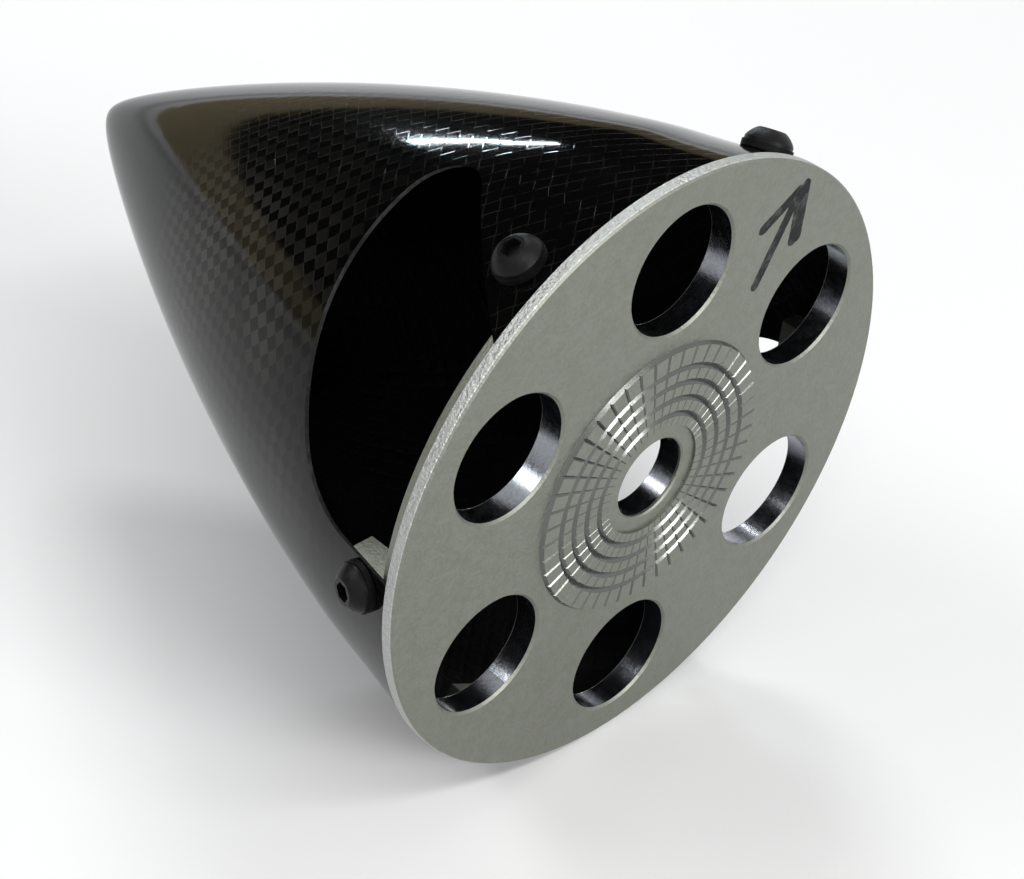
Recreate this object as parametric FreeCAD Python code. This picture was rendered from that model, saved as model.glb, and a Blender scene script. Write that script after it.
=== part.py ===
import FreeCAD, Part
import math
import os
from FreeCAD import Vector

# Propeller spinner: a moulded carbon nose cone on a machined backplate, held by
# six radial button-head screws with washers. Millimetres. The spin axis is Y, the
# nose points along +Y and +Z is up. The origin is the centre of the shaft bore on
# the rearmost face, the knurled boss. Angles run about Y, from +X towards +Z.

# ---- backplate: flange, core and rear boss ----
flange_radius = 38.0
flange_thickness = 1.4
flange_chamfer = 0.3
plate_thickness = 3.1
boss_height = 0.5
boss_top_radius = 16.7
boss_base_radius = 17.0
bore_radius = 5.0
bore_chamfer = 0.2
counterbore_radius = 6.9
counterbore_depth = 0.3

# ---- knurl on the boss: V grooves crossed by radial cuts ----
groove_count = 4
first_groove_radius = 8.35
groove_pitch = 1.95
groove_width = 0.75
groove_depth = 0.35
radial_cut_count = 47
radial_cut_inner_depth = 0.05
radial_cut_outer_depth = 0.24
radial_cut_half_angle = 45.0

# ---- lightening holes ----
screw_count = 6
lightening_rim_distance = 11.3
lightening_hole_radius = 7.5
lightening_chamfer = 0.28

# ---- nose cone: r(d) = base_radius * sqrt(b d + f d^2 + (1 - b - f) d^3) ----
cone_gap = 0.15
cone_length = 97.5
cone_rim_inset = 0.35
cone_bluntness = 0.194
cone_fullness = 1.848
cone_wall = 0.6
cone_courses = 10

# ---- blade cut-outs, drawn flat across the blade axis ----
blade_angle = 150.0
cutout_count = 2
cutout_lean_side_offset = 10.0
cutout_lean_angle = 33.4
cutout_steep_side_offset = 16.2
cutout_steep_angle = 4.3
cutout_crown_offset = 14.5
cutout_crown_height = 26.5
cutout_crown_radius = 46.0
cutout_lean_corner_radius = 5.4
cutout_steep_corner_radius = 12.8

# ---- screw tabs standing on the front of the plate ----
tab_width = 4.8
tab_height = 6.0
tab_reach = 4.85
tab_relief = 0.06

# ---- screws: M3 button heads with a hexagon socket ----
screw_station = 5.9
screw_radius = 1.5
screw_length = 6.0
screw_tip_chamfer = 0.4
head_radius = 2.72
head_height = 1.65
head_edge = 0.4
head_crown_radius = 1.5
socket_across_flats = 2.0
socket_depth = 1.0
thread_depth = 6.6
washer_radius = 2.9
washer_thickness = 0.7

# ---- clearances ----
seat_clearance = 0.03
thread_clearance = 0.02
screw_hole_clearance = 0.1
washer_lift = 0.02
tool_overrun = 5.0

# ---- radii that follow the flange ----
cone_base_radius = flange_radius - cone_rim_inset
lightening_circle_radius = flange_radius - lightening_rim_distance
tab_inner_radius = cone_base_radius - tab_reach

# ---- stations along the spin axis ----
ORIGIN = Vector(0, 0, 0)
SPIN_AXIS = Vector(0, 1, 0)
rear_face_y = boss_height
flange_front_y = rear_face_y + flange_thickness
plate_front_y = rear_face_y + plate_thickness
tab_front_y = plate_front_y + tab_height
cone_base_y = flange_front_y + cone_gap
cone_tip_y = cone_base_y + cone_length
screw_y = rear_face_y + screw_station
seat_inset = cone_wall + seat_clearance


def turned(points, axis=SPIN_AXIS):
    """Solid of revolution of a closed outline of (x, y) points."""
    corners = [Vector(x, y, 0) for x, y in points]
    wire = Part.makePolygon(corners + corners[:1])
    return Part.Face(wire).revolve(ORIGIN, axis, 360)


def about_spin_axis(shape, angle):
    """Copy of a shape turned about Y, from +X towards +Z."""
    copy = shape.copy()
    copy.rotate(ORIGIN, SPIN_AXIS, -angle)
    return copy


def ring_of(shape, count, first_angle=0.0):
    """Evenly spaced copies of a shape about the spin axis."""
    return [about_spin_axis(shape, first_angle + i * 360.0 / count) for i in range(count)]


# ---------------------------------------------------------------- nose cone


def ogive_radius_squared(distance):
    """Squared outer radius at a distance from the tip, as a share of the length."""
    last = 1 - cone_bluntness - cone_fullness
    series = cone_bluntness * distance + cone_fullness * distance**2 + last * distance**3
    return cone_base_radius**2 * series


def ogive_slope(distance):
    """Angle between the outer surface and the spin axis, in radians."""
    last = 1 - cone_bluntness - cone_fullness
    rate = cone_bluntness + 2 * cone_fullness * distance + 3 * last * distance**2
    radius = math.sqrt(ogive_radius_squared(distance))
    return math.atan2(cone_base_radius**2 * rate / (2 * cone_length), radius)


def ogive_outline(inset):
    """Points (radius, y) from base to tip, turned in straight courses."""
    points = []
    for i in range(cone_courses):
        distance = (1 - i / cone_courses) ** 2
        slope = ogive_slope(distance)
        radius = math.sqrt(ogive_radius_squared(distance)) - inset * math.cos(slope)
        y = cone_tip_y - distance * cone_length - inset * math.sin(slope)
        points.append((radius, y))
    points.append((0, cone_tip_y - inset))
    return points


def course_radius(y, inset=0.0):
    """Radius on the first course, run on past the cone's base if need be."""
    (base_radius, base_y), (next_radius, next_y) = ogive_outline(inset)[:2]
    return base_radius + (next_radius - base_radius) * (y - base_y) / (next_y - base_y)


def course_slope():
    """Angle between the first course and the spin axis, in degrees."""
    (base_radius, base_y), (next_radius, next_y) = ogive_outline(0)[:2]
    return math.degrees(math.atan2(base_radius - next_radius, next_y - base_y))


def ogive_solid(inset, start_y):
    """The cone's outer form moved inwards by an inset, closed at start_y."""
    start = (course_radius(start_y, inset), start_y)
    return turned([(0, start_y), start] + ogive_outline(inset)[1:])


def crown_corner(side_offset, lean):
    """Where a straight side of the cut-out meets the crown arc."""
    centre_y = cutout_crown_height - cutout_crown_radius
    slope = math.tan(math.radians(lean))
    shift = side_offset + cutout_crown_offset
    a = 1 + slope**2
    b = 2 * (-slope * shift - centre_y)
    c = shift**2 + centre_y**2 - cutout_crown_radius**2
    y = (-b + math.sqrt(b**2 - 4 * a * c)) / (2 * a)
    return side_offset - slope * y, y


def cutout_tool():
    """Prism that cuts one blade opening, drawn across the X axis."""
    lean_corner = crown_corner(-cutout_lean_side_offset, cutout_lean_angle)
    steep_corner = crown_corner(cutout_steep_side_offset, cutout_steep_angle)
    below = -tool_overrun
    lean_foot = -cutout_lean_side_offset - math.tan(math.radians(cutout_lean_angle)) * below
    steep_foot = cutout_steep_side_offset - math.tan(math.radians(cutout_steep_angle)) * below

    def at(side, height):
        return Vector(0, rear_face_y + height, side)

    crown = at(-cutout_crown_offset, cutout_crown_height)
    edges = [
        Part.makeLine(at(lean_foot, below), at(*lean_corner)),
        Part.Arc(at(*lean_corner), crown, at(*steep_corner)).toShape(),
        Part.makeLine(at(*steep_corner), at(steep_foot, below)),
        Part.makeLine(at(steep_foot, below), at(lean_foot, below)),
    ]
    reach = flange_radius + tool_overrun
    prism = Part.Face(Part.Wire(edges)).extrude(Vector(reach, 0, 0))
    prism = round_corner(prism, at(*lean_corner), cutout_lean_corner_radius)
    return round_corner(prism, at(*steep_corner), cutout_steep_corner_radius)


def round_corner(prism, corner, radius):
    """Fillet the edge that runs along X through a corner of the outline."""
    for edge in prism.Edges:
        along_x = abs(edge.Vertexes[0].Point.x - edge.Vertexes[-1].Point.x) > tool_overrun
        offset = edge.Vertexes[0].Point - corner
        if along_x and math.hypot(offset.y, offset.z) < 1e-6:
            return prism.makeFillet(radius, [edge])
    raise ValueError("the cut-out has no edge at that corner")


def make_nose_cone():
    outside = ogive_solid(0, cone_base_y)
    inside = ogive_solid(cone_wall, rear_face_y)
    hole = on_cone(axial_cylinder(screw_radius + screw_hole_clearance, -tool_overrun, tool_overrun))
    cutters = ring_of(cutout_tool(), cutout_count, blade_angle)
    return outside.cut([inside] + cutters + ring_of(hole, screw_count))


# ---------------------------------------------------------------- backplate


def boss_outline():
    """Rear outline of the boss, from the counterbore out, with its V grooves."""
    points = [(counterbore_radius, 0)]
    for i in range(groove_count):
        middle = first_groove_radius + i * groove_pitch
        points.append((middle - groove_width / 2, 0))
        points.append((middle, groove_depth))
        points.append((middle + groove_width / 2, 0))
    points.append((boss_top_radius, 0))
    points.append((boss_base_radius, rear_face_y))
    return points


def plate_blank():
    """The turned backplate, before holes, tabs and radial cuts."""
    rear = boss_outline()
    rim = [
        (flange_radius - flange_chamfer, rear_face_y),
        (flange_radius, rear_face_y + flange_chamfer),
        (flange_radius, flange_front_y),
        (course_radius(flange_front_y, seat_inset), flange_front_y),
        (course_radius(plate_front_y, seat_inset), plate_front_y),
    ]
    bore = [
        (bore_radius, plate_front_y),
        (bore_radius, counterbore_depth + bore_chamfer),
        (bore_radius + bore_chamfer, counterbore_depth),
        (counterbore_radius, counterbore_depth),
    ]
    return turned(rear + rim + bore)


def lightening_tool():
    """Straight hole with a chamfer at the rear face, on the X axis."""
    centre = Vector(lightening_circle_radius, rear_face_y, 0)
    below = centre - SPIN_AXIS * tool_overrun
    drill = Part.makeCylinder(
        lightening_hole_radius, plate_thickness + 2 * tool_overrun, below, SPIN_AXIS
    )
    mouth = lightening_hole_radius + lightening_chamfer
    chamfer = Part.makeCone(
        mouth + lightening_chamfer,
        lightening_hole_radius,
        2 * lightening_chamfer,
        centre - SPIN_AXIS * lightening_chamfer,
        SPIN_AXIS,
    )
    return drill.fuse(chamfer)


def radial_cut_tool():
    """V-shaped cutter along +X that sinks deeper towards the boss's rim."""
    length = boss_base_radius - counterbore_radius
    fall = math.atan2(radial_cut_outer_depth - radial_cut_inner_depth, length)
    half_width = tool_overrun * math.tan(math.radians(radial_cut_half_angle))
    corners = [Vector(0, 0, 0), Vector(0, -tool_overrun, half_width), Vector(0, -tool_overrun, -half_width)]
    face = Part.Face(Part.makePolygon(corners + corners[:1]))
    tool = face.extrude(Vector(length + tool_overrun / 4, 0, 0))
    tool.rotate(ORIGIN, Vector(0, 0, 1), math.degrees(fall))
    tool.translate(Vector(counterbore_radius, radial_cut_inner_depth, 0))
    return tool


def screw_tab():
    """Tab on the X axis, its outer face on the cone's inner surface."""
    block = Part.makeBox(
        flange_radius - tab_inner_radius,
        tab_front_y - flange_front_y,
        tab_width,
        Vector(tab_inner_radius, flange_front_y, -tab_width / 2),
    )
    seat = ogive_solid(seat_inset + tab_relief, rear_face_y)
    return block.common(seat)


def make_backplate():
    plate = plate_blank().fuse(ring_of(screw_tab(), screw_count)).removeSplitter()
    first_hole = 180.0 / screw_count
    thread = on_cone(axial_cylinder(screw_radius + thread_clearance, -thread_depth, tool_overrun))
    cutters = ring_of(lightening_tool(), screw_count, first_hole)
    cutters += ring_of(thread, screw_count)
    cutters += ring_of(radial_cut_tool(), radial_cut_count)
    return plate.cut(cutters)


# ---------------------------------------------------------------- screws


def axial_cylinder(radius, start, end):
    """Cylinder about the X axis."""
    return Part.makeCylinder(radius, end - start, Vector(start, 0, 0), Vector(1, 0, 0))


def on_cone(shape):
    """Carry a shape drawn about +X to the first screw's place, square to the cone."""
    placed = shape.copy()
    placed.rotate(ORIGIN, Vector(0, 0, 1), course_slope())
    placed.translate(Vector(course_radius(screw_y), screw_y, 0))
    return placed


def make_washer():
    inner = screw_radius + screw_hole_clearance
    outer = washer_radius
    low = washer_lift
    high = washer_lift + washer_thickness
    outline = [(low, inner), (low, outer), (high, outer), (high, inner)]
    return on_cone(turned(outline, Vector(1, 0, 0)))


def socket_tool(top):
    """Hexagonal key socket."""
    corner_radius = socket_across_flats / math.sqrt(3)
    floor = top - socket_depth
    corners = [
        Vector(floor, corner_radius * math.cos(a), corner_radius * math.sin(a))
        for a in (math.radians(60 * i) for i in range(6))
    ]
    hexagon = Part.Face(Part.makePolygon(corners + corners[:1]))
    return hexagon.extrude(Vector(socket_depth + tool_overrun, 0, 0))


def button_head(seat):
    """Head whose dome is part of a ball centred on the screw's axis."""
    blank = axial_cylinder(head_radius, seat, seat + head_height)
    dome_height = head_height - head_edge
    chord = head_radius**2 - head_crown_radius**2 - dome_height**2
    centre = seat + head_edge - chord / (2 * dome_height)
    ball_radius = math.hypot(head_radius, seat + head_edge - centre)
    ball = Part.makeSphere(ball_radius, Vector(centre, 0, 0), Vector(1, 0, 0))
    return blank.common(ball)


def make_screw():
    seat = washer_lift + washer_thickness
    tip = seat - screw_length
    shank_outline = [
        (tip, 0),
        (tip, screw_radius - screw_tip_chamfer),
        (tip + screw_tip_chamfer, screw_radius),
        (seat, screw_radius),
        (seat, 0),
    ]
    shank = turned(shank_outline, Vector(1, 0, 0))
    body = shank.fuse(button_head(seat))
    return on_cone(body.cut(socket_tool(seat + head_height)))


# ---------------------------------------------------------------- output


def export(name, shape):
    shape.exportStep(os.path.join("parts", name + ".step"))


def main():
    os.makedirs("parts", exist_ok=True)
    export("nose_cone", make_nose_cone())
    export("backplate", make_backplate())
    for i, screw in enumerate(ring_of(make_screw(), screw_count)):
        export("cone_screw_%d" % (i + 1), screw)
    for i, washer in enumerate(ring_of(make_washer(), screw_count)):
        export("screw_washer_%d" % (i + 1), washer)


main()
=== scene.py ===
import logging
import math
from dataclasses import dataclass, field
from enum import Enum

import bpy
from mathutils import Matrix, Vector


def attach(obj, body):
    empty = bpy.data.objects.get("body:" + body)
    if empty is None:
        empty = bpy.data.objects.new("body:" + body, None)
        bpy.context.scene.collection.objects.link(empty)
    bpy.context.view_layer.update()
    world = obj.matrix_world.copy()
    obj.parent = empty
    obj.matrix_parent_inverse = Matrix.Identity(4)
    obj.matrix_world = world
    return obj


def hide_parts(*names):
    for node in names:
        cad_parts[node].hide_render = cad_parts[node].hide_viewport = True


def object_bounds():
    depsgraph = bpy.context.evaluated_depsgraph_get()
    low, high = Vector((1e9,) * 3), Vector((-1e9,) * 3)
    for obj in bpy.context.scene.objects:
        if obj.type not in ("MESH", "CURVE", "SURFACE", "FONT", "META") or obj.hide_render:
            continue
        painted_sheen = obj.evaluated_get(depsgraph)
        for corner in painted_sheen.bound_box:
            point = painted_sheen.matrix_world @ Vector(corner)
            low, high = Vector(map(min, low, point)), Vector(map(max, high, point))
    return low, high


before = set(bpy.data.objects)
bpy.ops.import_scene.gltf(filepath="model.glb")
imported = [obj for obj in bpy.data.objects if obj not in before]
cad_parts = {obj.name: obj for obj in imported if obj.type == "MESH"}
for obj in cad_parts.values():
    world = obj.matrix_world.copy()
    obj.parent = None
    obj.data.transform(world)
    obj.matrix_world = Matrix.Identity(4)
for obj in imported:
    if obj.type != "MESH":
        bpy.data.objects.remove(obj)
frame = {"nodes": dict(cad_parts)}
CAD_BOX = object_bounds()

log = logging.getLogger("spinner")
MM = 0.001
MM_PER_METRE = 1000.0
NOISE_MIDDLE = 0.5
TOUCHING = 0.000001
Node = bpy.types.Node
Wire = bpy.types.NodeSocket
Point = tuple[float, float]
Span = tuple[float, float]
Place = tuple[float, float, float]
Colour = tuple[float, float, float]


class Side(Enum):
    """Faces of a wall that take different finishes."""

    OUTSIDE = 0
    INSIDE = 1
    CUT_EDGE = 2


# ------------------------------------------------------------------ shader helpers


class NodeBench:
    """Adds and joins nodes in one tree, for a material or a group."""

    def __init__(self, tree: bpy.types.NodeTree) -> None:
        """Keep the tree to work on."""
        self.tree = tree

    def add(self, kind: str, **settings: object) -> Node:
        """Add a node and set its properties.

        Args:
            kind: Blender's name for the node type.
            settings: properties of the node, by name.

        Returns:
            The new node.
        """
        node = self.tree.nodes.new(kind)
        for name, value in settings.items():
            setattr(node, name, value)
        return node

    def feed(self, socket: Wire, value: object) -> None:
        """Join a socket to an input, or write a plain value on it.

        Args:
            socket: the input to fill.
            value: a socket to join, or the value to write.
        """
        if isinstance(value, Wire):
            self.tree.links.new(value, socket)
        else:
            socket.default_value = value

    def math(self, operation: str, *values: object, clamp: bool = False) -> Wire:
        """Add a Math node.

        Args:
            operation: the sum to do, such as MULTIPLY.
            values: sockets or numbers, in the node's order.
            clamp: whether to keep the result between 0 and 1.

        Returns:
            The result's socket.
        """
        node = self.add("ShaderNodeMath", operation=operation, use_clamp=clamp)
        for socket, value in zip(node.inputs, values):
            self.feed(socket, value)
        return node.outputs[0]

    def vector(self, operation: str, *values: object) -> Node:
        """Add a Vector Math node.

        Args:
            operation: the sum to do, such as DOT_PRODUCT.
            values: sockets or vectors, in the node's order.

        Returns:
            The new node.
        """
        node = self.add("ShaderNodeVectorMath", operation=operation)
        for socket, value in zip(node.inputs, values):
            self.feed(socket, value)
        return node

    def noise(self, where: Wire, scale: object, detail: float = 3.0) -> Wire:
        """Add a Noise Texture.

        Args:
            where: the coordinates it reads.
            scale: how fine it is.
            detail: how many finer layers it has.

        Returns:
            Its value, which is near NOISE_MIDDLE on average.
        """
        node = self.add("ShaderNodeTexNoise")
        self.feed(node.inputs["Vector"], where)
        self.feed(node.inputs["Scale"], scale)
        self.feed(node.inputs["Detail"], detail)
        return node.outputs["Fac"]

    def ramp(self, value: object, low: float, high: float, start: object = 0.0, end: object = 1.0) -> Wire:
        """Map a value smoothly from one range to another.

        Args:
            value: the value to map.
            low: where the step starts.
            high: where the step ends.
            start: the result below the step.
            end: the result above it.

        Returns:
            The mapped value's socket.
        """
        node = self.add("ShaderNodeMapRange", interpolation_type="SMOOTHSTEP")
        for socket, given in zip(node.inputs, (value, low, high, start, end)):
            self.feed(socket, given)
        return node.outputs["Result"]

    def mix(self, amount: object, first: object, second: object) -> Wire:
        """Blend two colours.

        Args:
            amount: the share of the second colour, from 0 to 1.
            first: the colour at 0.
            second: the colour at 1.

        Returns:
            The blended colour's socket.
        """
        node = self.add("ShaderNodeMix", data_type="RGBA")
        self.feed(node.inputs["Factor"], amount)
        for name, colour in (("A", first), ("B", second)):
            socket = [s for s in node.inputs if s.name == name and s.type == "RGBA"][0]
            if not isinstance(colour, Wire):
                colour = (*colour, 1.0)
            self.feed(socket, colour)
        return [s for s in node.outputs if s.type == "RGBA"][0]

    def pick(self, mask: Wire, chosen: Wire, other: Wire) -> Wire:
        """Take one value where a mask is 1 and another where it is 0.

        Args:
            mask: 1 or 0.
            chosen: the value where the mask is 1.
            other: the value where it is 0.

        Returns:
            The picked value's socket.
        """
        first = self.math("MULTIPLY", mask, chosen)
        second = self.math("MULTIPLY", self.math("SUBTRACT", 1.0, mask), other)
        return self.math("ADD", first, second)

    def bump(self, height: Wire, distance: float) -> Wire:
        """Turn a height into a normal.

        Args:
            height: the height, as a multiple of the distance.
            distance: what a height of 1 stands for, in metres.

        Returns:
            The normal's socket.
        """
        node = self.add("ShaderNodeBump")
        self.feed(node.inputs["Height"], height)
        self.feed(node.inputs["Distance"], distance)
        return node.outputs["Normal"]


@dataclass(frozen=True)
class Socket:
    """One named input or output of a shader group."""

    name: str
    kind: str = "NodeSocketFloat"
    value: float = 0.0


class ShaderGroup:
    """An effect that several finishes share, built once."""

    label = "group"
    inputs: tuple[Socket, ...] = ()
    outputs: tuple[Socket, ...] = ()

    def __init__(self) -> None:
        """Make the group's sockets and its nodes."""
        self.tree = bpy.data.node_groups.new(self.label, "ShaderNodeTree")
        for given, way in ((self.inputs, "INPUT"), (self.outputs, "OUTPUT")):
            for item in given:
                socket = self.tree.interface.new_socket(item.name, in_out=way, socket_type=item.kind)
                if item.kind == "NodeSocketFloat":
                    socket.default_value = item.value
        bench = NodeBench(self.tree)
        self.build(bench, bench.add("NodeGroupInput"), bench.add("NodeGroupOutput"))

    def build(self, bench: NodeBench, given: Node, result: Node) -> None:
        """Wire the effect; each group has its own.

        Args:
            bench: the group's bench.
            given: the node that holds the inputs.
            result: the node that takes the outputs.
        """

    def use(self, bench: NodeBench, **values: object) -> Node:
        """Place the group in a material.

        Args:
            bench: the material's bench.
            values: inputs by name, with _ for a space.

        Returns:
            The group node.
        """
        node = bench.add("ShaderNodeGroup", node_tree=self.tree)
        for name, value in values.items():
            bench.feed(node.inputs[name.replace("_", " ")], value)
        return node


class GrainGroup(ShaderGroup):
    """Fine blasted or moulded grain with slow cloudiness under it."""

    label = "Fine grain"
    inputs = (
        Socket("Place", "NodeSocketVector"),
        Socket("Scale", value=6000.0),
        Socket("Cloud scale", value=60.0),
    )
    outputs = (Socket("Grain"), Socket("Clouds"))
    coarse_scale = 0.35
    fine_share = 0.6
    grain_detail = 2.0
    cloud_detail = 4.0
    contrast: Span = (0.3, 0.7)

    def build(self, bench: NodeBench, given: Node, result: Node) -> None:
        """Two noises at the grain's scale and one at the clouds'.

        Args:
            bench: the group's bench.
            given: the node that holds the inputs.
            result: the node that takes the outputs.
        """
        place = given.outputs["Place"]
        fine = bench.noise(place, given.outputs["Scale"], self.grain_detail)
        scale = bench.math("MULTIPLY", given.outputs["Scale"], self.coarse_scale)
        coarse = bench.noise(place, scale, self.grain_detail)
        fine = bench.math("MULTIPLY", fine, self.fine_share)
        coarse = bench.math("MULTIPLY", coarse, 1.0 - self.fine_share)
        grain = bench.math("ADD", fine, coarse)
        bench.feed(result.inputs["Grain"], bench.ramp(grain, *self.contrast))
        clouds = bench.noise(place, given.outputs["Cloud scale"], self.cloud_detail)
        bench.feed(result.inputs["Clouds"], bench.ramp(clouds, *self.contrast))


class SpinGroup(ShaderGroup):
    """Radius and height about the spin axis in millimetres, and angle in radians."""

    label = "Spin place"
    inputs = (Socket("Place", "NodeSocketVector"),)
    outputs = (Socket("Radius"), Socket("Angle"), Socket("Height"))

    def build(self, bench: NodeBench, given: Node, result: Node) -> None:
        """Polar coordinates in the X-Z plane.

        Args:
            bench: the group's bench.
            given: the node that holds the inputs.
            result: the node that takes the outputs.
        """
        split = bench.add("ShaderNodeSeparateXYZ")
        bench.feed(split.inputs[0], given.outputs["Place"])
        x, y, z = split.outputs
        square = bench.math("ADD", bench.math("MULTIPLY", x, x), bench.math("MULTIPLY", z, z))
        bench.feed(result.inputs["Radius"], bench.math("MULTIPLY", bench.math("SQRT", square), MM_PER_METRE))
        bench.feed(result.inputs["Angle"], bench.math("ARCTAN2", z, x))
        bench.feed(result.inputs["Height"], bench.math("MULTIPLY", y, MM_PER_METRE))


class WeaveGroup(ShaderGroup):
    """Plain weave laid at 45 degrees to the cone's length.

    Crown is the rounded height of the tow on top, and Warp is 1 where the tow
    that leans one way is on top. Tow is a value that differs from tow to tow,
    Fibre is a fine ribbing, and Side is 1 along the long sides of a tow.
    """

    label = "Plain weave"
    inputs = (
        Socket("Angle"),
        Socket("Height"),
        Socket("Drape radius", value=27.9),
        Socket("Tow width", value=2.0),
        Socket("Wander"),
    )
    outputs = (Socket("Crown"), Socket("Warp"), Socket("Tow"), Socket("Fibre"), Socket("Side"))
    tow_middle = 0.5
    crown_slope: Span = (0.25, 0.5)
    side_edge: Span = (0.4, 0.48)
    ribs = 9.0
    other_family = 500.0

    def build(self, bench: NodeBench, given: Node, result: Node) -> None:
        """Count tows along both diagonals and shape each crossing.

        Args:
            bench: the group's bench.
            given: the node that holds the inputs.
            result: the node that takes the outputs.
        """
        around = bench.math("MULTIPLY", given.outputs["Angle"], given.outputs["Drape radius"])
        along = bench.math("ADD", given.outputs["Height"], given.outputs["Wander"])
        pitch = bench.math("MULTIPLY", given.outputs["Tow width"], math.sqrt(2.0))
        first = bench.math("DIVIDE", bench.math("ADD", around, along), pitch)
        second = bench.math("DIVIDE", bench.math("SUBTRACT", around, along), pitch)
        floors = [bench.math("FLOOR", value) for value in (first, second)]
        parity = bench.math("FLOORED_MODULO", bench.math("ADD", *floors), 2.0)
        warp = bench.math("GREATER_THAN", parity, 0.5)
        across = [
            bench.math("ABSOLUTE", bench.math("SUBTRACT", bench.math("FRACT", value), self.tow_middle))
            for value in (first, second)
        ]
        rounds = [bench.ramp(value, *self.crown_slope, 1.0, 0.0) for value in across]
        bench.feed(result.inputs["Crown"], bench.math("MULTIPLY", *rounds))
        bench.feed(result.inputs["Warp"], warp)
        tow = bench.pick(warp, *floors)
        white = bench.add("ShaderNodeTexWhiteNoise", noise_dimensions="1D")
        offset = bench.math("MULTIPLY", warp, self.other_family)
        bench.feed(white.inputs["W"], bench.math("ADD", tow, offset))
        bench.feed(result.inputs["Tow"], white.outputs["Value"])
        ribs = [bench.math("FRACT", bench.math("MULTIPLY", value, self.ribs)) for value in (first, second)]
        rib = bench.pick(warp, ribs[1], ribs[0])
        bench.feed(result.inputs["Fibre"], bench.math("ABSOLUTE", bench.math("SUBTRACT", rib, 0.5)))
        own = bench.pick(warp, *across)
        bench.feed(result.inputs["Side"], bench.ramp(own, *self.side_edge))


class StrokeGroup(ShaderGroup):
    """Distance from a straight pen stroke drawn across the X-Z plane, in metres."""

    label = "Pen stroke"
    inputs = (
        Socket("Place", "NodeSocketVector"),
        Socket("Start", "NodeSocketVector"),
        Socket("End", "NodeSocketVector"),
    )
    outputs = (Socket("Distance"),)

    def build(self, bench: NodeBench, given: Node, result: Node) -> None:
        """Distance from a point to the nearest place on a segment.

        Args:
            bench: the group's bench.
            given: the node that holds the inputs.
            result: the node that takes the outputs.
        """
        flat = bench.vector("MULTIPLY", given.outputs["Place"], (1.0, 0.0, 1.0)).outputs[0]
        reach = bench.vector("SUBTRACT", flat, given.outputs["Start"]).outputs[0]
        line = bench.vector("SUBTRACT", given.outputs["End"], given.outputs["Start"]).outputs[0]
        along = bench.vector("DOT_PRODUCT", reach, line).outputs["Value"]
        whole = bench.vector("DOT_PRODUCT", line, line).outputs["Value"]
        share = bench.math("DIVIDE", along, whole, clamp=True)
        scaled = bench.add("ShaderNodeVectorMath", operation="SCALE")
        bench.feed(scaled.inputs[0], line)
        bench.feed(scaled.inputs["Scale"], share)
        gap = bench.vector("SUBTRACT", reach, scaled.outputs[0]).outputs[0]
        bench.feed(result.inputs["Distance"], bench.vector("LENGTH", gap).outputs["Value"])


# ------------------------------------------------------------------ finishes


@dataclass
class Groups:
    """The shared shader groups."""

    grain: GrainGroup = field(default_factory=GrainGroup)
    spin: SpinGroup = field(default_factory=SpinGroup)
    weave: WeaveGroup = field(default_factory=WeaveGroup)
    stroke: StrokeGroup = field(default_factory=StrokeGroup)


class Finish:
    """A material's base: the shader, its output and the object's own place."""

    def start(self, name: str) -> tuple[bpy.types.Material, NodeBench, Node, Wire]:
        """Make an empty material with a Principled shader.

        Args:
            name: the material's name.

        Returns:
            The material, its bench, its shader and the Object coordinates.
        """
        material = bpy.data.materials.new(name)
        material.use_nodes = True
        material.node_tree.nodes.clear()
        bench = NodeBench(material.node_tree)
        shader = bench.add("ShaderNodeBsdfPrincipled")
        output = bench.add("ShaderNodeOutputMaterial")
        bench.feed(output.inputs["Surface"], shader.outputs[0])
        place = bench.add("ShaderNodeTexCoord").outputs["Object"]
        return material, bench, shader, place


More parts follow.
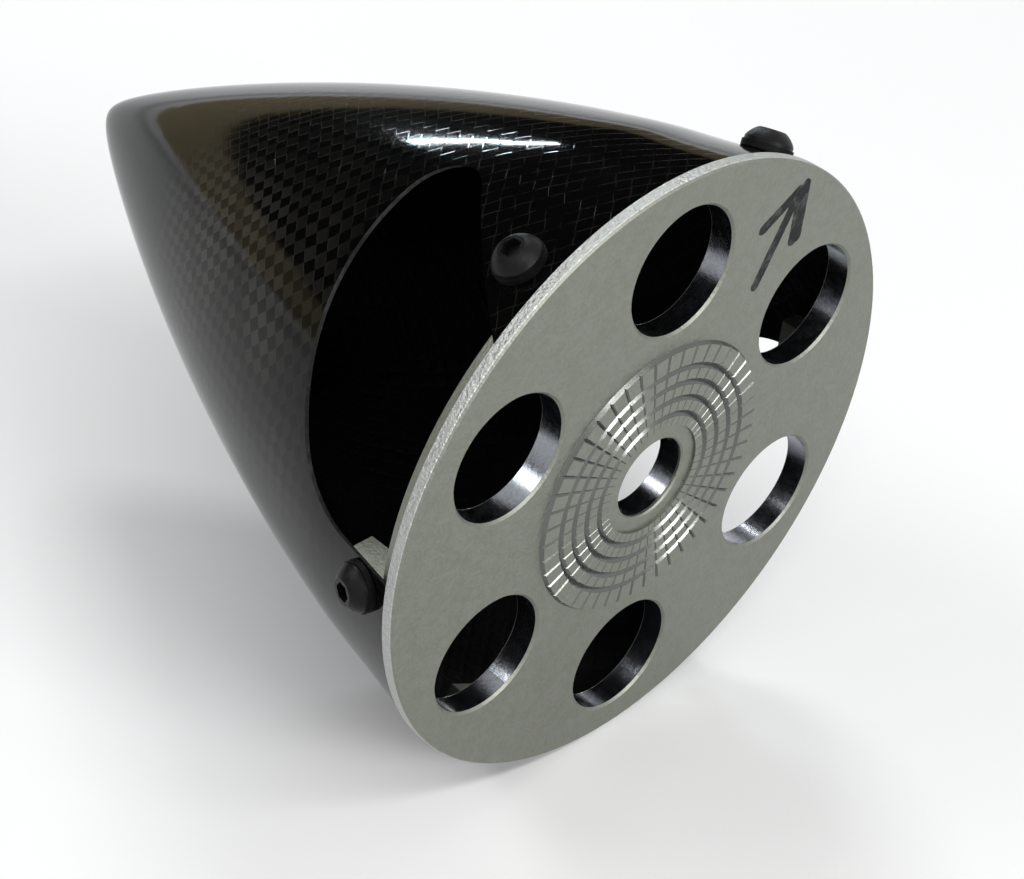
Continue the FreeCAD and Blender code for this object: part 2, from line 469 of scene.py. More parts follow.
@dataclass(frozen=True)
class CarbonSkin(Finish):
    """Woven carbon under clear gloss, with painted sheen and painted glints in its colour.

    The lighter colour of the lit tows is painted sheen that stands in for the
    light the fibres catch. It shows most on two opposite flanks, comes in from
    the base between the rise heights and gives way to plain dark resin between
    the fade heights. The paler colour along the tows' sides is a painted glint.
    Each strength is the least share of them that its cause leaves. Widths and
    heights are in millimetres, the angle in degrees and the ripple in metres.
    """

    dark_tow: Colour = (0.0016, 0.0016, 0.0016)
    # painted sheen: colour of the lit tows, standing in for light the fibres catch
    painted_sheen_tow: Colour = (0.04, 0.0385, 0.032)
    # painted glint: paler colour along the long sides of the tows
    seam_glint: Colour = (0.013, 0.0125, 0.011)
    plain: Colour = (0.003, 0.003, 0.0028)
    tow_width: float = 1.5
    tows_around: int = 84
    wander: float = 3.2
    wander_scale: float = 45.0
    grain_scale: float = 5000.0
    cloud_scale: float = 38.0
    # where the painted sheen comes in from the base, and its least share there
    rise: Span = (14.0, 42.0)
    sheen_rise_strength: float = 0.12
    fade: Span = (52.0, 78.0)
    cloud_edge: Span = (0.1, 0.8)
    cloud_strength: float = 0.35
    tow_strength: float = 0.45
    # painted sheen is weakest at this angle and strongest on the two flanks square to it
    sheen_dim_angle: float = 75.0
    sheen_flank_edge: Span = (0.72, 0.98)
    sheen_flank_strength: float = 0.14
    rib_middle: float = 0.5
    rib_shade: float = 0.3
    seam_scale: float = 420.0
    seam_edge: Span = (0.42, 0.6)
    # how much of the painted glint colour shows
    seam_glint_share: float = 0.9
    gloss: float = 0.11
    gloss_roughness: float = 0.055
    dull_factor: float = 1.7
    ripple: float = 0.0000032
    swell: float = 4.0
    swell_scale: float = 150.0
    fine_detail: float = 2.0

    def painted_sheen_share(self, bench: NodeBench, spin: Node, weave: Node, clouds: Wire) -> Wire:
        """Work out how much painted sheen the lit tows show.

        Args:
            bench: the material's bench.
            spin: the spin place group.
            weave: the weave group.
            clouds: the slow cloudiness.

        Returns:
            A mask of painted sheen, from 0 on a dark tow to 1 where it is brightest.
        """
        sheen_risen = bench.ramp(spin.outputs["Height"], *self.rise, self.sheen_rise_strength, 1.0)
        cloudy = bench.ramp(clouds, *self.cloud_edge, self.cloud_strength, 1.0)
        strength = bench.math("MULTIPLY", sheen_risen, cloudy)
        by_tow = bench.ramp(weave.outputs["Tow"], 0.0, 1.0, self.tow_strength, 1.0)
        strength = bench.math("MULTIPLY", strength, by_tow)
        # painted sheen: strongest on two opposite flanks, by angle about the spin axis
        turned = bench.math("SUBTRACT", spin.outputs["Angle"], math.radians(self.sheen_dim_angle))
        sideways = bench.math("ABSOLUTE", bench.math("SINE", turned))
        sheen_flank = bench.ramp(sideways, *self.sheen_flank_edge, self.sheen_flank_strength, 1.0)
        return bench.math("MULTIPLY", weave.outputs["Warp"], bench.math("MULTIPLY", strength, sheen_flank))

    def make(self, groups: Groups) -> bpy.types.Material:
        """Put the weave, its painted sheen and painted glints in the colour, and a faint ripple of it in the
        gloss.

        Args:
            groups: the shared shader groups.

        Returns:
            The material.
        """
        material, bench, shader, place = self.start("carbon_gloss")
        spin = groups.spin.use(bench, Place=place)
        height = spin.outputs["Height"]
        drift = bench.math("SUBTRACT", bench.noise(place, self.wander_scale), NOISE_MIDDLE)
        weave = groups.weave.use(
            bench,
            Angle=spin.outputs["Angle"],
            Height=height,
            Drape_radius=self.tows_around * self.tow_width * math.sqrt(2.0) / math.tau,
            Tow_width=self.tow_width,
            Wander=bench.math("MULTIPLY", drift, self.wander),
        )
        grain = groups.grain.use(bench, Place=place, Scale=self.grain_scale, Cloud_scale=self.cloud_scale)
        clouds = grain.outputs["Clouds"]
        faded = bench.ramp(height, *self.fade)
        painted_sheen = self.painted_sheen_share(bench, spin, weave, clouds)
        # painted sheen: the lit tows take the lighter colour where the mask is high
        shade = bench.mix(painted_sheen, self.dark_tow, self.painted_sheen_tow)
        rib = bench.ramp(weave.outputs["Fibre"], 0.0, self.rib_middle, self.rib_shade, 0.0)
        shade = bench.mix(rib, shade, self.dark_tow)
        # painted glint: the tows' long sides take a paler colour, broken into patches, standing in for light
        # caught on their edges
        patches = bench.noise(place, self.seam_scale, self.fine_detail)
        glint_breaks = bench.ramp(patches, *self.seam_edge, 0.0, self.seam_glint_share)
        shade = bench.mix(bench.math("MULTIPLY", weave.outputs["Side"], glint_breaks), shade, self.seam_glint)
        bench.feed(shader.inputs["Base Color"], bench.mix(faded, shade, self.plain))
        dullest = self.gloss_roughness * self.dull_factor
        bench.feed(shader.inputs["Roughness"], bench.ramp(clouds, 0.0, 1.0, self.gloss_roughness, dullest))
        shader.inputs["Specular IOR Level"].default_value = self.gloss
        ridge = bench.math("MULTIPLY", weave.outputs["Side"], bench.math("SUBTRACT", 1.0, faded))
        waves = bench.noise(place, self.swell_scale, self.fine_detail)
        swell = bench.math("MULTIPLY", waves, self.swell)
        bench.feed(shader.inputs["Normal"], bench.bump(bench.math("ADD", ridge, swell), self.ripple))
        return material


@dataclass(frozen=True)
class CarbonBack(Finish):
    """The unpolished inner face or the cut edge of the laminate, relief in metres. The inner face's
    near-black is partly the resin's own colour and partly painted shade inside the cone.
    """

    name: str = "carbon_inside_shaded"
    # near-black inner face, darker than the outer tows: partly its own colour, partly painted shade inside
    # the cone
    colour: Colour = (0.0006, 0.0006, 0.0008)
    high: Colour = (0.002, 0.002, 0.0025)
    roughness: float = 0.6
    uneven: float = 0.25
    shine: float = 0.08
    grain_scale: float = 1800.0
    cloud_scale: float = 120.0
    relief: float = 0.00008

    def make(self, groups: Groups) -> bpy.types.Material:
        """Lay resin grain over a faint weave.

        Args:
            groups: the shared shader groups.

        Returns:
            The material.
        """
        material, bench, shader, place = self.start(self.name)
        spin = groups.spin.use(bench, Place=place)
        weave = groups.weave.use(bench, Angle=spin.outputs["Angle"], Height=spin.outputs["Height"])
        grain = groups.grain.use(bench, Place=place, Scale=self.grain_scale, Cloud_scale=self.cloud_scale)
        clouds = grain.outputs["Clouds"]
        patch = bench.math("MULTIPLY", grain.outputs["Grain"], clouds)
        bench.feed(shader.inputs["Base Color"], bench.mix(patch, self.colour, self.high))
        roughest = self.roughness + self.uneven
        bench.feed(shader.inputs["Roughness"], bench.ramp(clouds, 0.0, 1.0, self.roughness, roughest))
        shader.inputs["Specular IOR Level"].default_value = self.shine
        height = bench.math("ADD", weave.outputs["Crown"], grain.outputs["Grain"])
        bench.feed(shader.inputs["Normal"], bench.bump(height, self.relief))
        return material


# Cut edge of the laminate: its paler colour is partly the bare cut laminate and partly a painted highlight
# line along the opening's edge.
CARBON_EDGE_HIGHLIGHT = CarbonBack(
    name="carbon_edge_painted_highlight",
    colour=(0.02, 0.02, 0.021),
    high=(0.06, 0.06, 0.06),
    roughness=0.25,
)


@dataclass(frozen=True)
class SatinAluminium(Finish):
    """Blasted aluminium with cut grooves, drilled walls and a pen mark. The grooves' darker colour is
    painted shade, and the rim's paler colour is partly its own lighter metal and partly a painted highlight.

    Radii, heights and the pen's strokes are in millimetres, and the grain's
    depth in metres. A margin keeps a mask's edge clear of the face beside it.
    """

    colour: Colour = (0.2, 0.21, 0.176)
    bright: Colour = (0.3, 0.31, 0.29)
    bright_share: float = 0.4
    dull: Colour = (0.15, 0.15, 0.13)
    dull_share: float = 0.05
    # rim: a paler colour, partly its own lighter metal and partly a painted highlight
    rim_highlight_colour: Colour = (0.5, 0.51, 0.5)
    rim_highlight_share: float = 0.7
    # painted shade: the knurl's grooves are coloured darker than the face
    knurl_painted_shade: Colour = (0.14, 0.143, 0.135)
    wall_colour: Colour = (0.3, 0.32, 0.35)
    face_roughness: float = 0.46
    cut_roughness: float = 0.2
    wall_roughness: float = 0.17
    grain_roughness: float = 0.1
    grain_scale: float = 2600.0
    cloud_scale: float = 70.0
    grain_depth: float = 0.000035
    cut_calm: float = 0.88
    rim_relief: float = 2.6
    rear_face: float = 0.5
    boss_radius: float = 17.05
    counterbore_radius: float = 6.95
    plate_front: float = 3.6
    rim_radius: float = 37.9
    rim_width: float = 3.0
    land_margin: float = 0.01
    groove_margin: float = 0.02
    chamfer: float = 0.3
    front_margin: float = 0.03
    ink: Colour = (0.02, 0.02, 0.022)
    pen_width: float = 1.35
    pen_blur: float = 0.06
    pen_ragged: float = 0.28
    pen_scale: float = 1400.0
    streak_scale: float = 900.0
    streak_detail: float = 4.0
    streak_edge: Span = (0.28, 0.55)
    streak_least: float = 0.72
    strokes: tuple[tuple[Point, Point], ...] = (
        ((12.7, 20.1), (17.2, 29.5)),
        ((12.3, 27.3), (17.4, 30.3)),
        ((18.6, 24.2), (18.5, 30.7)),
        ((17.9, 23.9), (17.8, 29.8)),
    )

    def between(self, bench: NodeBench, value: Wire, low: float, high: float) -> Wire:
        """1 where a value lies between two limits, or 0."""
        over = bench.math("GREATER_THAN", value, low)
        return bench.math("MULTIPLY", over, bench.math("LESS_THAN", value, high))

    def ink_mask(self, bench: NodeBench, groups: Groups, place: Wire, height: Wire) -> Wire:
        """Find where the pen has marked the rear face.

        Args:
            bench: the material's bench.
            groups: the shared groups.
            place: Object coordinates.
            height: height along the spin axis in millimetres.

        Returns:
            A mask, 1 on the ink.
        """
        nearest = None
        for start, end in self.strokes:
            ends = [(x * MM, 0.0, z * MM) for x, z in (start, end)]
            stroke = groups.stroke.use(bench, Place=place, Start=ends[0], End=ends[1])
            distance = stroke.outputs["Distance"]
            nearest = distance if nearest is None else bench.math("MINIMUM", nearest, distance)
        shake = bench.math("SUBTRACT", bench.noise(place, self.pen_scale), NOISE_MIDDLE)
        ragged = bench.math("MULTIPLY", shake, self.pen_ragged * MM)
        half, blur = self.pen_width / 2 * MM, self.pen_blur * MM
        mark = bench.ramp(bench.math("ADD", nearest, ragged), half - blur, half + blur, 1.0, 0.0)
        patches = bench.noise(place, self.streak_scale, self.streak_detail)
        streaks = bench.ramp(patches, *self.streak_edge, self.streak_least, 1.0)
        on_face = bench.math("LESS_THAN", height, self.rear_face + self.land_margin)
        return bench.math("MULTIPLY", bench.math("MULTIPLY", mark, streaks), on_face)

    def cut_masks(self, bench: NodeBench, radius: Wire, height: Wire) -> tuple[Wire, Wire]:
        """Find the knurl's grooves and the walls of the drilled holes.

        Args:
            bench: the material's bench.
            radius: radius from the spin axis in millimetres.
            height: height along it in millimetres.

        Returns:
            The masks of the knurl and of the drilled walls.
        """
        on_boss = self.between(bench, radius, self.counterbore_radius, self.boss_radius)
        grooves = self.between(bench, height, self.land_margin, self.rear_face - self.groove_margin)
        knurl = bench.math("MULTIPLY", on_boss, grooves)
        chamfer_end = self.rear_face + self.chamfer
        through = self.between(bench, height, chamfer_end, self.plate_front - self.front_margin)
        inboard = bench.math("LESS_THAN", radius, self.rim_radius - self.rim_width)
        return knurl, bench.math("MULTIPLY", through, inboard)

    def make(self, groups: Groups) -> bpy.types.Material:
        """Put grain on the faces, and smoother metal where it was cut or drilled. The knurl's grooves take
        painted shade, and the rim a paler colour that is partly painted highlight.

        Args:
            groups: the shared shader groups.

        Returns:
            The material.
        """
        material, bench, shader, place = self.start("satin_aluminium")
        spin = groups.spin.use(bench, Place=place)
        radius, height = spin.outputs["Radius"], spin.outputs["Height"]
        group = groups.grain.use(bench, Place=place, Scale=self.grain_scale, Cloud_scale=self.cloud_scale)
        grain, clouds = group.outputs["Grain"], group.outputs["Clouds"]
        knurl, drilled = self.cut_masks(bench, radius, height)
        rim = bench.math("GREATER_THAN", radius, self.rim_radius)
        cut = bench.math("MAXIMUM", knurl, drilled)
        blasted = bench.mix(bench.math("MULTIPLY", grain, self.bright_share), self.colour, self.bright)
        blasted = bench.mix(bench.math("MULTIPLY", clouds, self.dull_share), blasted, self.dull)
        # partly painted highlight: the rim is mixed towards a paler colour
        metal = bench.mix(bench.math("MULTIPLY", rim, self.rim_highlight_share), blasted, self.rim_highlight_colour)
        # painted shade: the knurl's grooves take a darker colour
        metal = bench.mix(knurl, metal, self.knurl_painted_shade)
        metal = bench.mix(drilled, metal, self.wall_colour)
        mark = self.ink_mask(bench, groups, place, height)
        bench.feed(shader.inputs["Base Color"], bench.mix(mark, metal, self.ink))
        rough = bench.math("MULTIPLY", grain, self.grain_roughness)
        rough = bench.math("ADD", self.face_roughness, rough)
        smoother = bench.math("MULTIPLY", knurl, self.cut_roughness - self.face_roughness)
        smoothest = bench.math("MULTIPLY", drilled, self.wall_roughness - self.face_roughness)
        change = bench.math("ADD", smoother, smoothest)
        bench.feed(shader.inputs["Roughness"], bench.math("ADD", rough, change))
        shader.inputs["Metallic"].default_value = 1.0
        calm = bench.math("SUBTRACT", 1.0, bench.math("MULTIPLY", cut, self.cut_calm))
        relief = bench.math("ADD", bench.math("MULTIPLY", rim, self.rim_relief), calm)
        depth = bench.math("MULTIPLY", grain, relief)
        bench.feed(shader.inputs["Normal"], bench.bump(depth, self.grain_depth))
        return material


@dataclass(frozen=True)
class DarkFinish(Finish):
    """A plain dark finish with grain: black oxide on steel, or black nylon.

    The grain's depth is in metres.
    """

    name: str
    colour: Colour
    worn: Colour
    roughness: float
    shine: float
    grain_scale: float
    grain_depth: float
    cloud_scale: float = 500.0
    uneven: float = 0.12

    def make(self, groups: Groups) -> bpy.types.Material:
        """Vary the colour, gloss and surface with grain and clouds.

        Args:
            groups: the shared shader groups.

        Returns:
            The material.
        """
        material, bench, shader, place = self.start(self.name)
        group = groups.grain.use(bench, Place=place, Scale=self.grain_scale, Cloud_scale=self.cloud_scale)
        grain = group.outputs["Grain"]
        bench.feed(shader.inputs["Base Color"], bench.mix(group.outputs["Clouds"], self.colour, self.worn))
        roughest = self.roughness + self.uneven
        bench.feed(shader.inputs["Roughness"], bench.ramp(grain, 0.0, 1.0, self.roughness, roughest))
        shader.inputs["Specular IOR Level"].default_value = self.shine
        bench.feed(shader.inputs["Normal"], bench.bump(grain, self.grain_depth))
        return material


BLACK_OXIDE = DarkFinish(
    name="black_oxide",
    colour=(0.003, 0.003, 0.0035),
    worn=(0.007, 0.007, 0.0075),
    roughness=0.3,
    shine=0.14,
    grain_scale=9000.0,
    grain_depth=0.000012,
)
BLACK_NYLON = DarkFinish(
    name="black_nylon",
    colour=(0.002, 0.002, 0.0024),
    worn=(0.005, 0.005, 0.0055),
    roughness=0.5,
    shine=0.1,
    grain_scale=6000.0,
    grain_depth=0.00002,
)


# ------------------------------------------------------------------ modelling helpers


class Bench:
    """Works on one mesh object with Blender's own operators."""

    @staticmethod
    def clear() -> None:
        """Leave edit mode and select nothing."""
        if bpy.context.object and bpy.context.object.mode != "OBJECT":
            bpy.ops.object.mode_set(mode="OBJECT")
        bpy.ops.object.select_all(action="DESELECT")

    @staticmethod
    def take(piece: bpy.types.Object) -> None:
        """Select one object and make it active.

        Args:
            piece: the object.
        """
        Bench.clear()
        piece.select_set(True)
        bpy.context.view_layer.objects.active = piece

    @staticmethod
    def settle(piece: bpy.types.Object) -> None:
        """Move the object's place into its mesh."""
        Bench.take(piece)
        bpy.ops.object.transform_apply(location=True, rotation=True, scale=True)

    @staticmethod
    def apply(piece: bpy.types.Object, kind: str, **settings: object) -> None:
        """Add a modifier and apply it.

        Args:
            piece: the object.
            kind: Blender's name for the modifier.
            settings: properties of the modifier, by name.
        """
        Bench.take(piece)
        modifier = piece.modifiers.new(kind.title(), kind)
        for name, value in settings.items():
            setattr(modifier, name, value)
        bpy.ops.object.modifier_apply(modifier=modifier.name)

    @staticmethod
    def edit(piece: bpy.types.Object, kind: str = "VERT") -> None:
        """Open the object in edit mode with everything selected.

        Args:
            piece: the object.
            kind: what is selected: VERT, EDGE or FACE.
        """
        Bench.take(piece)
        bpy.ops.object.mode_set(mode="EDIT")
        bpy.ops.mesh.select_mode(type=kind)
        bpy.ops.mesh.select_all(action="SELECT")

    @staticmethod
    def done() -> None:
        """Return to object mode."""
        bpy.ops.object.mode_set(mode="OBJECT")


# ------------------------------------------------------------------ nose cone


@dataclass
class NoseShell:
    """The moulded carbon nose cone, in millimetres and degrees until it is placed.

    Each side of a blade opening is its offset at the rear face and its lean.
    """

    base_y: float = 2.05
    length: float = 97.5
    base_radius: float = 37.65
    bluntness: float = 0.194
    fullness: float = 1.848
    wall: float = 0.6
    skirt_top: float = 9.0
    skirt_fade: float = 20.0
    first_course: float = 0.81
    tip_radius: float = 0.02
    stations: int = 72
    around: int = 224
    rear_face: float = 0.5
    opening_angles: tuple[float, ...] = (150.0, 330.0)
    lean_side: Point = (-10.0, 33.4)
    steep_side: Point = (16.2, 4.3)
    crown_offset: float = -14.5
    crown_height: float = 26.5
    crown_radius: float = 46.0
    lean_corner: float = 5.4
    steep_corner: float = 12.8
    corner_steps: int = 20
    crown_steps: int = 28
    foot_height: float = -5.0
    cutter_reach: float = 45.0
    screw_y: float = 6.4
    screw_hole: float = 1.6
    screw_tilt: float = 11.13
    screw_count: int = 6
    drill_depth: float = 6.0
    drill_sides: int = 40
    slope_step: float = 0.5
    same_way: float = 0.7
    smooth_angle: float = 30.0

    def true_radius(self, y: float) -> float:
        """Work out the radius of the smooth ogive.

        Args:
            y: height along the spin axis.

        Returns:
            The outer radius there.
        """
        share = (self.base_y + self.length - y) / self.length
        last = 1.0 - self.bluntness - self.fullness
        series = self.bluntness * share + self.fullness * share**2 + last * share**3
        return self.base_radius * math.sqrt(max(series, 0.0))

    def radius(self, y: float) -> float:
        """Work out the radius with the straight skirt that the washers sit on.

        Args:
            y: height along the spin axis.

        Returns:
            The outer radius there.
        """
        top = self.base_y + self.length * (1.0 - self.first_course)
        share = (y - self.base_y) / (top - self.base_y)
        straight = self.base_radius + (self.true_radius(top) - self.base_radius) * share
        fade = min(max((y - self.skirt_top) / (self.skirt_fade - self.skirt_top), 0.0), 1.0)
        keep = 1.0 - fade * fade * (3.0 - 2.0 * fade)
        return self.true_radius(y) + keep * (straight - self.true_radius(y))

    def skin(self) -> bpy.types.Object:
        """Draw a ring at the base, extrude it station by station and close the tip.

        Returns:
            The shell with its wall, before anything is cut out of it.
        """
        Bench.clear()
        bpy.ops.mesh.primitive_circle_add(
            vertices=self.around,
            radius=self.base_radius * MM,
            fill_type="NOTHING",
            location=(0.0, self.base_y * MM, 0.0),
            rotation=(math.radians(-90.0), 0.0, 0.0),
        )
        shell = bpy.context.object
        shell.name = "nose_shell"
        Bench.settle(shell)
        Bench.edit(shell)
        last_y, last_radius = self.base_y, self.base_radius
        for i in range(1, self.stations + 1):
            y = self.base_y + self.length * math.sin(math.pi / 2 * i / self.stations)
            radius = max(self.radius(y), self.tip_radius)
            step = (0.0, (y - last_y) * MM, 0.0)
            bpy.ops.mesh.extrude_region_move(TRANSFORM_OT_translate={"value": step})
            size = radius / last_radius
            bpy.ops.transform.resize(value=(size, 1.0, size), center_override=(0.0, y * MM, 0.0))
            last_y, last_radius = y, radius
        bpy.ops.mesh.merge(type="CENTER")
        bpy.ops.mesh.select_all(action="SELECT")
        bpy.ops.mesh.remove_doubles(threshold=TOUCHING)
        bpy.ops.mesh.normals_make_consistent(inside=False)
        Bench.done()
        self.face_outwards(shell)
        Bench.apply(shell, "SOLIDIFY", thickness=self.wall * MM, offset=-1.0, use_even_offset=True)
        return shell

    def face_outwards(self, shell: bpy.types.Object) -> None:
        """Flip the open skin if its faces point at the axis.

        Args:
            shell: the skin.
        """
        face = shell.data.polygons[0]
        if face.normal.dot(Vector((face.center.x, 0.0, face.center.z))) < 0.0:
            Bench.edit(shell, "FACE")
            bpy.ops.mesh.flip_normals()
            Bench.done()

    def fillet(self, side: Point, radius: float, inward: float) -> tuple[Point, Point, Point]:
        """Round the corner between a straight side and the crown arc.

        Args:
            side: the side's offset at the rear face and its lean in degrees.
            radius: the corner's radius.
            inward: 1 if the opening lies on the side's + side, or -1.

        Returns:
            The corner's centre, its start on the side and its end on the crown.
        """
        offset, lean = side[0], math.radians(side[1])
        normal = Vector((inward * math.cos(lean), inward * math.sin(lean)))
        middle = Vector((self.crown_offset, self.crown_height - self.crown_radius))
        start = Vector((offset, 0.0)) + normal * radius - middle
        along = Vector((-math.sin(lean), math.cos(lean)))
        half = start.dot(along)
        rest = start.dot(start) - (self.crown_radius - radius) ** 2
        centre = middle + start + along * (-half + math.sqrt(half * half - rest))
        tangent = centre - normal * radius
        crown = middle + (centre - middle) * (self.crown_radius / (self.crown_radius - radius))
        return tuple(centre), tuple(tangent), tuple(crown)

    def arc(self, centre: Point, start: Point, end: Point, steps: int) -> list[Point]:
        """Follow an arc the short way.

        Args:
            centre: the arc's centre.
            start: its first point.
            end: its last point.
            steps: how many steps it takes.

        Returns:
            The points from start to end.
        """
        first = Vector(start) - Vector(centre)
        sweep = first.angle_signed(Vector(end) - Vector(centre))
        return [
            tuple(Vector(centre) + Matrix.Rotation(-sweep * i / steps, 2) @ first)
            for i in range(steps + 1)
        ]

    def opening_outline(self) -> list[Point]:
        """Draw the blade opening.

        Returns:
            Its points as (side, height) from the rear face.
        """
        lean = self.fillet(self.lean_side, self.lean_corner, 1.0)
        steep = self.fillet(self.steep_side, self.steep_corner, -1.0)
        middle = (self.crown_offset, self.crown_height - self.crown_radius)
        feet = [
            (offset - math.tan(math.radians(angle)) * self.foot_height, self.foot_height)
            for offset, angle in (self.lean_side, self.steep_side)
        ]
        points = [feet[0]]
        points += self.arc(lean[0], lean[1], lean[2], self.corner_steps)
        points += self.arc(middle, lean[2], steep[2], self.crown_steps)[1:-1]
        points += self.arc(steep[0], steep[2], steep[1], self.corner_steps)
        return points + [feet[1]]

    def opening_cutter(self, angle: float) -> bpy.types.Object:
        """Prism through one side of the shell.

        Args:
            angle: the blade's angle about the spin axis, in degrees.

        Returns:
            The cutter, in place.
        """
        outline = self.opening_outline()
        mesh = bpy.data.meshes.new("opening_cutter")
        corners = [Vector((0.0, (self.rear_face + y) * MM, side * MM)) for side, y in outline]
        mesh.from_pydata([tuple(c) for c in corners], [], [tuple(range(len(corners)))])
        cutter = bpy.data.objects.new("opening_cutter", mesh)
        bpy.context.scene.collection.objects.link(cutter)
        Bench.edit(cutter, "FACE")
        step = (self.cutter_reach * MM, 0.0, 0.0)
        bpy.ops.mesh.extrude_region_move(TRANSFORM_OT_translate={"value": step})
        bpy.ops.mesh.select_all(action="SELECT")
        bpy.ops.mesh.normals_make_consistent(inside=False)
        Bench.done()
        cutter.rotation_euler = (0.0, math.radians(-angle), 0.0)
        Bench.settle(cutter)
        return cutter

    def hole_cutter(self, index: int) -> bpy.types.Object:
        """Make a round cutter through the wall for one screw, square to the skirt.

        Args:
            index: the screw's number, from 0.

        Returns:
            The cutter, in place.
        """
        angle = math.radians(360.0 / self.screw_count * index)
        tilt = math.radians(self.screw_tilt)
        x, z = math.cos(angle), math.sin(angle)
        out = Vector((x * math.cos(tilt), math.sin(tilt), z * math.cos(tilt)))
        reach = self.radius(self.screw_y)
        spot = Vector((x * reach, self.screw_y, z * reach))
        Bench.clear()
        bpy.ops.mesh.primitive_cylinder_add(
            vertices=self.drill_sides,
            radius=self.screw_hole * MM,
            depth=self.drill_depth * MM,
            location=spot * MM,
            rotation=out.to_track_quat("Z", "Y").to_euler(),
        )
        cutter = bpy.context.object
        Bench.settle(cutter)
        return cutter

    def cut(self, shell: bpy.types.Object, cutter: bpy.types.Object) -> None:
        """Take a cutter out of the shell and throw the cutter away."""
        Bench.apply(shell, "BOOLEAN", object=cutter, operation="DIFFERENCE", solver="EXACT")
        bpy.data.objects.remove(cutter)

    def side_of(self, face: bpy.types.MeshPolygon) -> Side:
        """Tell which side of the wall a face is on, by the way it looks.

        Args:
            face: a face of the finished shell.

        Returns:
            The side.
        """
        spoke = Vector((face.center.x, 0.0, face.center.z))
        tip_y = self.base_y + self.length
        y = min(max(face.center.y / MM, self.base_y), tip_y)
        if spoke.length < TOUCHING:
            return Side.OUTSIDE if y > tip_y - self.wall / 2 else Side.INSIDE
        below, above = max(y - self.slope_step, self.base_y), min(y + self.slope_step, tip_y)
        fall = self.radius(below) - self.radius(above)
        outward = (spoke.normalized() + Vector((0.0, fall, 0.0))).normalized()
        facing = face.normal.dot(outward)
        if facing > self.same_way:
            return Side.OUTSIDE
        return Side.INSIDE if facing < -self.same_way else Side.CUT_EDGE

    def build(self, groups: Groups) -> bpy.types.Object:
        """Make, cut and dress the shell.

        Args:
            groups: the shared shader groups.

        Returns:
            The finished shell, which stands for the CAD cone.
        """
        shell = self.skin()
        for angle in self.opening_angles:
            self.cut(shell, self.opening_cutter(angle))
        for index in range(self.screw_count):
            self.cut(shell, self.hole_cutter(index))
        shell.data.materials.clear()
        for finish in (CarbonSkin(), CarbonBack(), CARBON_EDGE_HIGHLIGHT):
            shell.data.materials.append(finish.make(groups))
        for face in shell.data.polygons:
            face.material_index = self.side_of(face).value
        Bench.take(shell)
        bpy.ops.object.shade_smooth_by_angle(angle=math.radians(self.smooth_angle))
        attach(shell, "root")
        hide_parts("nose_cone")
        log.info("nose shell: %d faces", len(shell.data.polygons))
        return shell


# ------------------------------------------------------------------ hardware


@dataclass
class Hardware:
    """Finishes for the CAD nodes that keep their own shapes."""

    nodes: dict[str, bpy.types.Object]

    def dress(self, prefix: str, material: bpy.types.Material) -> None:
        """Give every CAD node whose name starts with a prefix one material.

        Args:
            prefix: the start of the nodes' names.
            material: what they take.
        """
        for name, node in self.nodes.items():
            if name.startswith(prefix):
                node.data.materials.clear()
                node.data.materials.append(material)
                log.info("%s: %s", name, material.name)

    def build(self, groups: Groups) -> None:
        """Dress the backplate, the screws and the washers.

        Args:
            groups: the shared shader groups.
        """
        self.dress("backplate", SatinAluminium().make(groups))
        self.dress("cone_screw", BLACK_OXIDE.make(groups))
        self.dress("screw_washer", BLACK_NYLON.make(groups))


# ------------------------------------------------------------------ studio


@dataclass(frozen=True)
class Lamp:
    """A soft rectangular lamp that looks at the part."""

    name: str
    place: Place
    size: Span
    power: float
    colour: Colour = (1.0, 1.0, 1.0)

    def build(self, target: Vector) -> bpy.types.Object:
        """Hang the lamp and turn it to the target.

        Args:
            target: the middle of the part.

        Returns:
            The lamp.
        """
        data = bpy.data.lights.new(self.name, "AREA")
        data.shape = "RECTANGLE"
        data.size, data.size_y = self.size
        data.energy = self.power
        data.color = self.colour
        lamp = bpy.data.objects.new(self.name, data)
        lamp.location = self.place
        lamp.rotation_euler = (target - Vector(self.place)).to_track_quat("-Z", "Y").to_euler()
        lamp.visible_camera = False
        bpy.context.scene.collection.objects.link(lamp)
        return lamp


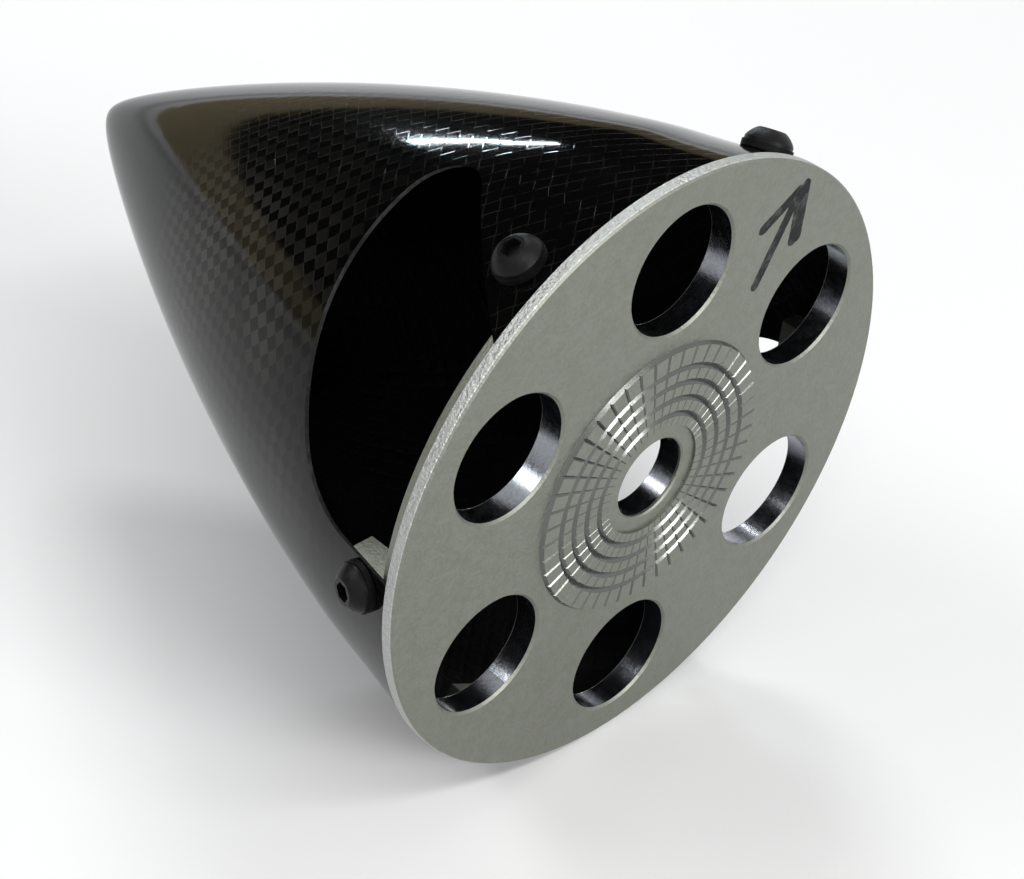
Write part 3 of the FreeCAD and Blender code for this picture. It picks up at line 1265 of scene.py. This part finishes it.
@dataclass
class Studio:
    """Floor, screen, world, lamps and camera, in metres."""

    floor_size: float = 6.0
    floor_drop: float = 0.0003
    floor_colour: Colour = (0.9, 0.9, 0.9)
    room: Colour = (0.27, 0.27, 0.27)
    floor_roughness: float = 0.8
    floor_fade: Span = (0.6, 1.6)
    screen_place: Point = (0.2, 0.95)
    screen_size: Span = (3.2, 1.35)
    screen_colour: Colour = (0.02, 0.02, 0.022)
    skirting_colour: Colour = (0.6, 0.5, 0.3)
    skirting_height: float = 0.13
    skirting_blur: float = 0.01
    sensor: float = 36.0
    lens: float = 76.58
    shift: Point = (0.0550, 0.0898)
    reach: Span = (0.01, 20.0)
    eye: Place = (-0.15219, -0.11504, 0.14626)
    right: Place = (0.72945, -0.67977, 0.07627)
    up: Place = (0.39204, 0.50683, 0.76775)
    ahead: Place = (0.56055, 0.53013, -0.63620)
    lamps: tuple[Lamp, ...] = (
        Lamp("front", (0.0, -0.78, 0.42), (0.42, 0.22), 4.1),
        Lamp("upper", (-0.15, -0.42, 0.78), (0.95, 0.12), 3.2),
        Lamp("back", (0.4, 0.5, 0.63), (0.26, 0.14), 1.6),
        Lamp("side", (-0.46, 0.48, 0.62), (0.45, 0.26), 2.1),
        Lamp("window", (0.42, 0.74, 0.3), (0.24, 0.012), 1.2, (0.78, 0.93, 1.0)),
    )

    def seen(self, bench: NodeBench) -> Wire:
        """Tell rays that see the room from rays that light the part.

        Args:
            bench: the bench of a material or the world.

        Returns:
            1 for a ray from the camera, a gloss or a glass, or 0.
        """
        path = bench.add("ShaderNodeLightPath")
        mirrored = bench.math("MAXIMUM", path.outputs["Is Glossy Ray"], path.outputs["Is Transmission Ray"])
        return bench.math("MAXIMUM", path.outputs["Is Camera Ray"], mirrored)

    def floor(self, low: Vector, high: Vector) -> None:
        """Lay the pale floor just under the part, white where it is far off.

        Args:
            low: the lowest corner of the part's box.
            high: the highest corner.
        """
        Bench.clear()
        middle = (low + high) / 2
        spot = (middle.x, middle.y, low.z - self.floor_drop)
        bpy.ops.mesh.primitive_plane_add(size=self.floor_size, location=spot)
        floor = bpy.context.object
        floor.name = "studio_floor"
        material = bpy.data.materials.new("studio_floor")
        material.use_nodes = True
        bench = NodeBench(material.node_tree)
        shader = material.node_tree.nodes["Principled BSDF"]
        shader.inputs["Base Color"].default_value = (*self.floor_colour, 1.0)
        shader.inputs["Roughness"].default_value = self.floor_roughness
        white = bench.add("ShaderNodeEmission")
        away = bench.vector("LENGTH", bench.add("ShaderNodeTexCoord").outputs["Object"])
        far = bench.ramp(away.outputs["Value"], *self.floor_fade)
        blend = bench.add("ShaderNodeMixShader")
        bench.feed(blend.inputs[0], bench.math("MULTIPLY", self.seen(bench), far))
        bench.feed(blend.inputs[1], shader.outputs[0])
        bench.feed(blend.inputs[2], white.outputs[0])
        bench.feed(material.node_tree.nodes["Material Output"].inputs["Surface"], blend.outputs[0])
        floor.data.materials.append(material)

    def screen(self) -> None:
        """Stand a dark screen with a warm foot behind the part, for gloss alone to show."""
        Bench.clear()
        (x, y), (width, height) = self.screen_place, self.screen_size
        bpy.ops.mesh.primitive_plane_add(
            size=1.0,
            location=(x, y, height / 2),
            rotation=(math.pi / 2, 0.0, 0.0),
        )
        screen = bpy.context.object
        screen.name = "studio_screen"
        screen.scale = (width, height, 1.0)
        Bench.settle(screen)
        material = bpy.data.materials.new("studio_screen")
        material.use_nodes = True
        bench = NodeBench(material.node_tree)
        shader = material.node_tree.nodes["Principled BSDF"]
        split = bench.add("ShaderNodeSeparateXYZ")
        bench.feed(split.inputs[0], bench.add("ShaderNodeTexCoord").outputs["Object"])
        foot, blur = self.skirting_height, self.skirting_blur
        rise = bench.ramp(split.outputs["Z"], foot - blur, foot + blur)
        bench.feed(shader.inputs["Base Color"], bench.mix(rise, self.skirting_colour, self.screen_colour))
        shader.inputs["Roughness"].default_value = 1.0
        shader.inputs["Specular IOR Level"].default_value = 0.0
        screen.data.materials.append(material)
        screen.visible_camera = False
        screen.visible_diffuse = False
        screen.visible_shadow = False

    def world(self) -> None:
        """An even room for diffuse light, white where it is seen or mirrored."""
        world = bpy.data.worlds.new("studio_world")
        world.use_nodes = True
        bench = NodeBench(world.node_tree)
        back = world.node_tree.nodes["Background"]
        bench.feed(back.inputs["Color"], bench.mix(self.seen(bench), self.room, (1.0, 1.0, 1.0)))
        bpy.context.scene.world = world

    def camera(self) -> None:
        """Set the camera at the eye, turned to its three directions."""
        data = bpy.data.cameras.new("camera")
        data.sensor_width = self.sensor
        data.lens = self.lens
        data.shift_x, data.shift_y = self.shift
        data.clip_start, data.clip_end = self.reach
        camera = bpy.data.objects.new("camera", data)
        turn = Matrix((self.right, self.up, [-v for v in self.ahead])).transposed().to_4x4()
        camera.matrix_world = Matrix.Translation(self.eye) @ turn
        bpy.context.scene.collection.objects.link(camera)
        bpy.context.scene.camera = camera

    def build(self, low: Vector, high: Vector) -> None:
        """Set up everything round the part.

        Args:
            low: the lowest corner of the part's box.
            high: the highest corner.
        """
        self.floor(low, high)
        self.screen()
        self.world()
        for lamp in self.lamps:
            lamp.build((low + high) / 2)
        self.camera()
        bpy.context.scene.view_settings.view_transform = "Standard"


def main() -> None:
    """Build the part and the studio round it."""
    logging.basicConfig(level=logging.INFO, format="%(name)s: %(message)s")
    groups = Groups()
    NoseShell().build(groups)
    Hardware(frame["nodes"]).build(groups)
    Studio().build(*CAD_BOX)


if __name__ == "__main__":
    main()
